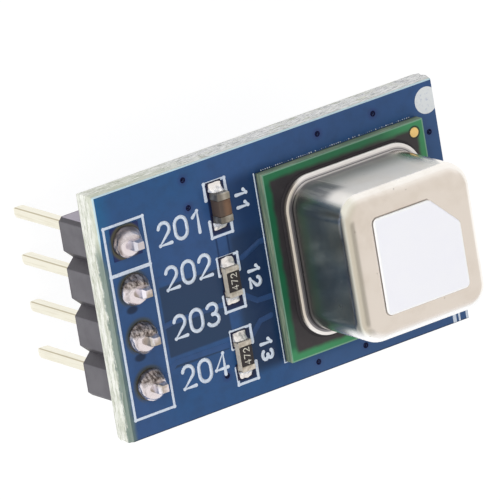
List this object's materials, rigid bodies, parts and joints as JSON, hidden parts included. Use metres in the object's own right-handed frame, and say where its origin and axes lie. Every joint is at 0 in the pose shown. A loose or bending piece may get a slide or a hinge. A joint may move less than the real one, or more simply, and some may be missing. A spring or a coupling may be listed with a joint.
{
  "type": "carbon dioxide sensor module",
  "caption": "Small circuit module with a metal-canned carbon dioxide gas sensor, chip parts and a pin header, plugged into a board or socket.",
  "frame": {"origin": "centre of the header insulator's underside, between the second and third pin", "axes": "+Z away from the board or socket that the header seats on, so the sensor faces +Z; +X from the header to the far end of the carrier board; +Y towards the first pin's edge"},
  "size_m": [0.0213, 0.0133, 0.0163],
  "materials": {
    "board_mask": "glossy blue solder mask over glass fibre",
    "header_plastic": "moulded dark plastic, slightly shiny",
    "pin_plating": "thin pale gold plating",
    "solder": "bright tin solder",
    "chip_metal": "satin tin plating",
    "brown_ceramic": "fired brown ceramic, slightly shiny",
    "white_ceramic": "matt off-white ceramic",
    "chip_coating": "dark glassy overcoat with plain white digits",
    "sensor_board_mask": "green solder mask over glass fibre",
    "gold_plating": "gold plating",
    "can_metal": "bright nickel-silver sheet, faintly drawn",
    "adhesive": "dark cured adhesive",
    "membrane": "matt white microporous film",
    "chip_package": "matt black moulded package",
    "coated_window": "interference-coated window",
    "metal_lid": "plated lid"
  },
  "bodies": {
    "root": {"carrier_board": "board_mask", "header_insulator": "header_plastic", "header_pin_1": "pin_plating", "header_pin_2": "pin_plating", "header_pin_3": "pin_plating", "header_pin_4": "pin_plating", "header_solder_1": "solder", "header_solder_2": "solder", "header_solder_3": "solder", "header_solder_4": "solder", "capacitor_body": "brown_ceramic", "capacitor_end_1": "chip_metal", "capacitor_end_2": "chip_metal", "capacitor_solder_1": "solder", "capacitor_solder_2": "solder", "resistor_1_ceramic": "white_ceramic", "resistor_1_coating": "chip_coating", "resistor_1_end_1": "chip_metal", "resistor_1_end_2": "chip_metal", "resistor_1_solder_1": "solder", "resistor_1_solder_2": "solder", "resistor_2_ceramic": "white_ceramic", "resistor_2_coating": "chip_coating", "resistor_2_end_1": "chip_metal", "resistor_2_end_2": "chip_metal", "resistor_2_solder_1": "solder", "resistor_2_solder_2": "solder", "sensor_base": "sensor_board_mask", "index_dot": "gold_plating", "sensor_can": "can_metal", "can_adhesive": "adhesive", "filter_membrane": "membrane", "infrared_emitter": "chip_package", "optical_filter": "coated_window", "microphone": "metal_lid", "humidity_sensor": "chip_package", "controller_chip": "chip_package"}
  },
  "joints": []
}
